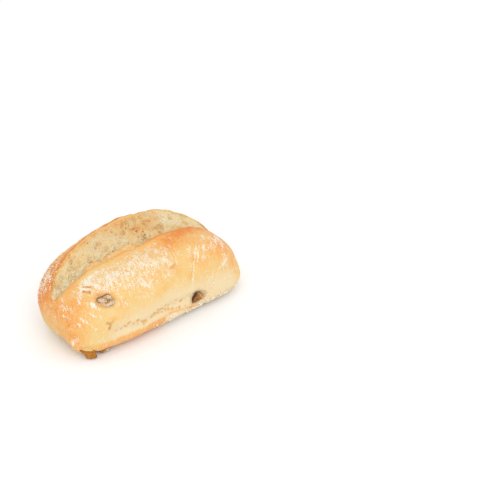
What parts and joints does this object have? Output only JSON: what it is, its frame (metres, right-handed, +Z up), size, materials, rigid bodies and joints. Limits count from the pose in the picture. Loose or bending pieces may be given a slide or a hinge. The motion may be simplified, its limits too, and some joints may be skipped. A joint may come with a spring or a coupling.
{
  "type": "olive ciabatta roll",
  "caption": "Small oblong ciabatta roll with a floured crust, one long opened slash in the top and green olive pieces in the crust.",
  "frame": {"origin": "centre of the roll's flat underside", "axes": "+X along the roll's length, +Y towards its higher, back side, +Z up"},
  "size_m": [0.117, 0.0604, 0.0472],
  "materials": {
    "crust": "baked wheat crust, golden to orange, dusted with flour; the torn slash shows pale open crumb",
    "olive": "baked green olive flesh, golden brown to dark olive, softly glossy"
  },
  "bodies": {
    "root": {"bread": "crust", "olive_front": "olive", "olive_low_right": "olive", "olive_corner": "olive", "olive_corner_small": "olive", "olive_back_left": "olive", "olive_back_right": "olive", "olive_back_rim": "olive", "olive_right_end": "olive"}
  },
  "joints": []
}
